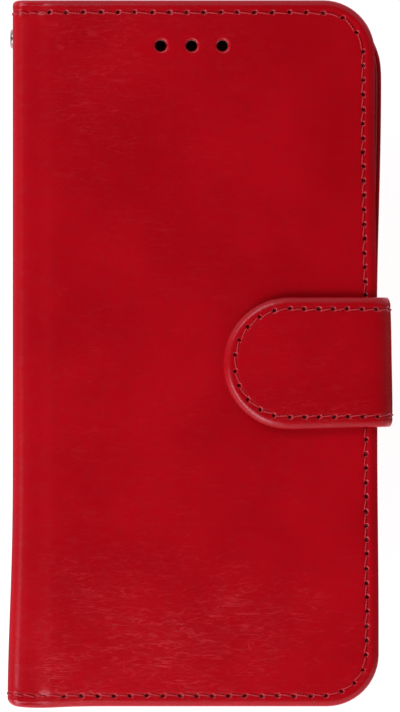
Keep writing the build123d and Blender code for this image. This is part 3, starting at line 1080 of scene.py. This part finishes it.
def cover_leather():
    """Glossy red leather, mottled and creased, with a painted sheen over the spine, painted shade in
    the needle holes and painted highlights along the creases.
    """
    shade = Shader("cover_leather")
    flat = shade.flat()
    s, y, _ = shade.parts(flat)
    pit, strap, _ = shade.parts(shade.add("ShaderNodeUVMap", uv_map="pit").outputs[0])
    s_away = shade.math("ABSOLUTE", s)
    broad = shade.rise(shade.noise(flat, 0.035, 3.0, 0.5), 0.3, 0.7)
    fine = shade.noise(flat, 0.35, 4.0, 0.6)
    # Painted sheen: the red is drawn lighter near the spine's fold, standing in for light on the bent
    # leather; the strap is left out
    fold = shade.rise(s_away, 20.0, 8.0, 0.0, 0.3)
    fold = shade.math("MULTIPLY", fold, shade.math("SUBTRACT", 1.0, strap))
    worn, lines = creases(shade, flat, s_away, y)
    red = shade.mix(broad, (0.315, 0.0012, 0.0042, 1), (0.38, 0.002, 0.006, 1))
    red = shade.mix(shade.rise(fine, 0.4, 0.75, 0, 0.35), red, (0.285, 0.001, 0.004, 1))
    red = shade.mix(fold, red, (0.44, 0.003, 0.009, 1))
    # Painted shade: the needle holes are coloured near-black, where shade falls inside them
    red = shade.mix(shade.rise(pit, 0.16, 0.55), red, (0.045, 0.001, 0.001, 1))
    # Painted highlight: a lighter red along the crease lines, where they would catch the light; the
    # same lines also make the bump below
    red = shade.mix(shade.math("MULTIPLY", lines, 0.32), red, (0.66, 0.045, 0.05, 1))
    grain = shade.noise(flat, 3.2, 3.0, 0.6)
    pebble = shade.noise(shade.flat((0.55, 1)), 0.9, 3.0, 0.5)
    height = shade.math("ADD", shade.math("MULTIPLY", grain, 0.35), pebble)
    normal = shade.bump(height, 0.00010, 0.25)
    normal = shade.bump(lines, 0.00003, 0.6, normal)
    rough = shade.rise(fine, 0.3, 0.75, 0.2, 0.27)
    rough = shade.math("ADD", rough, shade.math("MULTIPLY", worn, 0.07))
    rough = shade.math("ADD", rough, shade.rise(s_away, 9.0, 18.0, 0.03, 0.0))
    return shade.finish(
        Base_Color=red, Roughness=rough, Normal=normal, Specular_IOR_Level=0.5, IOR=1.36,
    )


def lining_finish(name, tint, deep):
    """Smooth, slightly matt leatherette with a fine pressed grain."""
    shade = Shader(name)
    flat = shade.flat()
    broad = shade.noise(flat, 0.06, 3.0)
    colour = shade.mix(shade.rise(broad, 0.3, 0.7), (*deep, 1), (*tint, 1))
    cells = shade.set(shade.add("ShaderNodeTexVoronoi", feature="SMOOTH_F1"), {
        "Vector": flat, "Scale": 1.6, "Smoothness": 0.35,
    })
    normal = shade.bump(cells["Distance"], 0.00010, 0.35)
    return shade.finish(Base_Color=colour, Roughness=0.52, Normal=normal)


def thread_finish():
    """Red polyester thread with a little fibre in it."""
    shade = Shader("thread")
    where = shade.add("ShaderNodeTexCoord").outputs["Object"]
    fibre = shade.noise(where, 9000.0, 2.0)
    colour = shade.mix(fibre, (0.37, 0.004, 0.008, 1), (0.58, 0.022, 0.026, 1))
    normal = shade.bump(fibre, 0.00004, 0.5)
    return shade.finish(Base_Color=colour, Roughness=0.55, Normal=normal)


def metal(name, colour, rough):
    """Bare or plated metal, unevenly worn."""
    shade = Shader(name)
    where = shade.add("ShaderNodeTexCoord").outputs["Object"]
    worn = shade.noise(where, 900.0, 4.0, 0.65)
    roughness = shade.rise(worn, 0.3, 0.7, rough * 0.8, rough * 1.3)
    normal = shade.bump(worn, 0.00002, 0.2)
    return shade.finish(
        Base_Color=(*colour, 1), Metallic=1.0, Roughness=roughness, Normal=normal
    )


def plain(name, low, high, size, rough):
    """A matt moulded or pressed material with a fine surface."""
    shade = Shader(name)
    where = shade.add("ShaderNodeTexCoord").outputs["Object"]
    worn = shade.noise(where, size, 4.0, 0.6)
    colour = shade.mix(shade.rise(worn, 0.3, 0.7), (*low, 1), (*high, 1))
    normal = shade.bump(worn, 0.00006, 0.35)
    return shade.finish(Base_Color=colour, Roughness=rough, Normal=normal)


def make_materials():
    MATERIALS.update(
        cover_leather=cover_leather(),
        lining=lining_finish("lining", (0.31, 0.0025, 0.006), (0.24, 0.002, 0.005)),
        pocket_leather=lining_finish("pocket_leather", (0.35, 0.003, 0.007), (0.28, 0.002, 0.005)),
        thread=thread_finish(),
        nickel=metal("nickel", (0.26, 0.24, 0.2), 0.28),
        steel=metal("steel", (0.5, 0.5, 0.5), 0.38),
        magnet=metal("magnet", (0.33, 0.33, 0.34), 0.42),
        board=plain("board", (0.27, 0.24, 0.2), (0.38, 0.34, 0.29), 1500.0, 0.85),
        tray=plain("tray", (0.011, 0.011, 0.012), (0.017, 0.017, 0.018), 2500.0, 0.42),
        adhesive=plain("adhesive", (0.6, 0.58, 0.5), (0.7, 0.68, 0.6), 900.0, 0.6),
    )


INNER_NODES = {
    "back_board": "board", "front_board": "board", "strap_stiffener": "board",
    "shell_pad": "adhesive", "phone_shell": "tray", "catch_plate": "steel",
    "strap_magnets": "magnet",
}


def paint_inner_nodes():
    """Finishes for the CAD's own solids that stay in view."""
    for node, finish in INNER_NODES.items():
        nodes[node].data.materials.clear()
        nodes[node].data.materials.append(MATERIALS[finish])


# Floor, light and camera

def build_floor():
    """A pale floor, low enough that the cover and the strap clear it when they fold right back."""
    size = 3.0
    lowest = -0.031
    corners = [(-size, -size), (size, -size), (size, size), (-size, size)]
    mesh = new_mesh("floor", [(x, y, lowest) for x, y in corners], [(0, 1, 2, 3)])
    floor = bpy.data.objects.new("floor", mesh)
    bpy.context.scene.collection.objects.link(floor)
    floor.visible_glossy = False
    shade = Shader("floor")
    mesh.materials.append(shade.finish(
        Base_Color=(0.2, 0.2, 0.2, 1), Roughness=0.9, Emission_Color=(1, 0.995, 0.99, 1),
        Emission_Strength=0.93,
    ))


def area_light(name, place, wide, tall, power):
    """A slightly cool soft box, aimed at the case."""
    light = bpy.data.lights.new(name, "AREA")
    light.shape = "RECTANGLE"
    light.size = wide
    light.size_y = tall
    light.energy = power
    light.color = (1.0, 0.9, 1.08)
    lamp = bpy.data.objects.new(name, light)
    lamp.location = place
    direction = Vector((0, 0, 0.01)) - Vector(place)
    lamp.rotation_euler = direction.to_track_quat("-Z", "Y").to_euler()
    lamp.visible_camera = False
    bpy.context.scene.collection.objects.link(lamp)


def build_world():
    """Pale low down towards the head, foot and spine, brighter and pinker below the horizon, and
    dark overhead, so that flat leather facing up keeps its colour."""
    world = bpy.data.worlds.new("studio")
    bpy.context.scene.world = world
    shade = Shader("studio", world, "Background")
    x, y, z = shade.parts(shade.add("ShaderNodeTexCoord").outputs["Generated"])
    height = shade.rise(z, 0.55, 0.86, 1.0, 0.0)
    foot = shade.rise(y, 0.0, -0.6, 0.0, 1.1)
    head = shade.rise(y, 0.0, 0.6, 0.0, 0.8)
    spine = shade.rise(x, 0.1, -0.7, 0.0, 0.08)
    sides = shade.math("ADD", shade.math("ADD", foot, head), spine)
    below = shade.rise(z, 0.1, -0.15)
    brighter = shade.rise(z, 0.1, -0.15, 1.0, 2.5)
    glow = shade.math("MULTIPLY", shade.math("MULTIPLY", height, sides), brighter)
    tint = shade.mix(below, (1.0, 0.9, 1.04, 1), (1.1, 0.66, 0.8, 1))
    shade.finish(Strength=glow, Color=tint)


def build_lights():
    area_light("foot_box", (-0.40, -0.43, 0.58), 0.65, 0.36, 5.35)
    area_light("head_box", (-0.36, 0.48, 0.57), 0.55, 0.28, 2.45)


def build_camera():
    """A long lens straight above the case, with all of it just in view."""
    data = bpy.data.cameras.new("camera")
    data.sensor_width = 36
    away = 1.0
    seen = 0.1575
    middle_x, middle_y = SPINE_X + 41.48, -0.59
    data.lens = data.sensor_width * away / seen
    data.clip_end = 50
    camera = bpy.data.objects.new("camera", data)
    camera.location = (middle_x * MM, middle_y * MM, DEPTH * MM + away)
    bpy.context.scene.collection.objects.link(camera)
    bpy.context.scene.camera = camera


make_materials()
paint_inner_nodes()
build_covers()
build_strap()
build_metal()
build_stiffener()
build_pockets()
build_floor()
build_world()
build_lights()
build_camera()
bpy.context.scene.view_settings.view_transform = "Standard"
bpy.context.view_layer.update()
